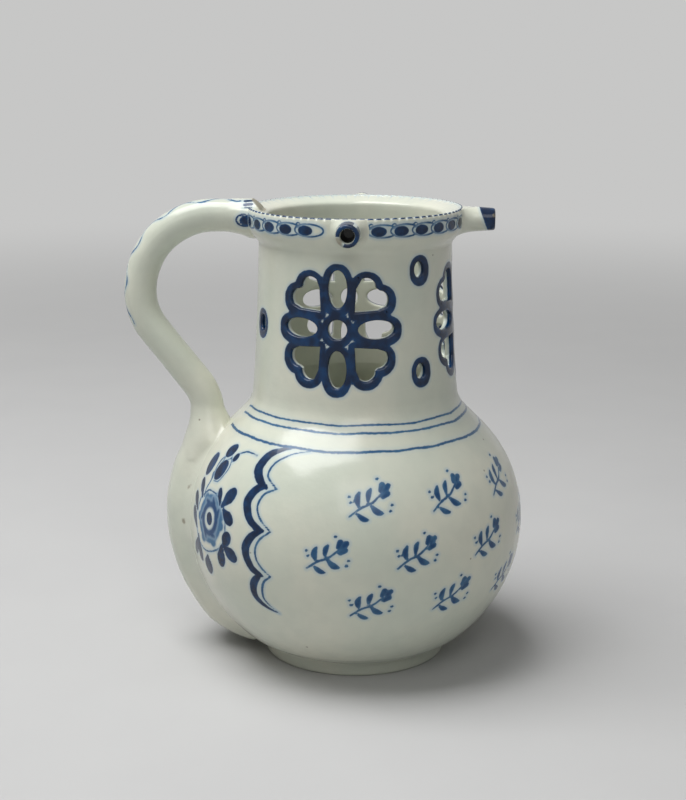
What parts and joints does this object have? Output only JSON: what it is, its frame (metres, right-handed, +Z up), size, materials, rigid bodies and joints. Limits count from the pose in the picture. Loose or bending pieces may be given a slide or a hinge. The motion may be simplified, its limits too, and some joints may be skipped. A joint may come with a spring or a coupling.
{
  "type": "puzzle jug",
  "caption": "Round-bellied earthenware puzzle jug with a pierced neck, sucking spouts on a hollow rim, and a hollow handle that runs into a duct down the belly.",
  "frame": {"origin": "centre of the foot's flat underside, where the jug rests on the table", "axes": "+Z up along the jug's axis, +X away from the handle through the middle spout, -Y towards the painted front"},
  "size_m": [0.1629, 0.1376, 0.1876],
  "materials": {
    "tin_glaze": "glossy"
  },
  "bodies": {
    "root": {"belly": "tin_glaze", "neck": "tin_glaze", "rim_trough": "tin_glaze", "rim_cap": "tin_glaze", "spout_side": "tin_glaze", "spout_front": "tin_glaze", "spout_back": "tin_glaze", "spout_side_lute": "tin_glaze", "spout_front_lute": "tin_glaze", "spout_back_lute": "tin_glaze", "handle_tube": "tin_glaze", "handle_head_lute": "tin_glaze", "handle_heel_lute": "tin_glaze", "belly_duct": "tin_glaze", "duct_lute_front": "tin_glaze", "duct_lute_back": "tin_glaze"}
  },
  "joints": []
}
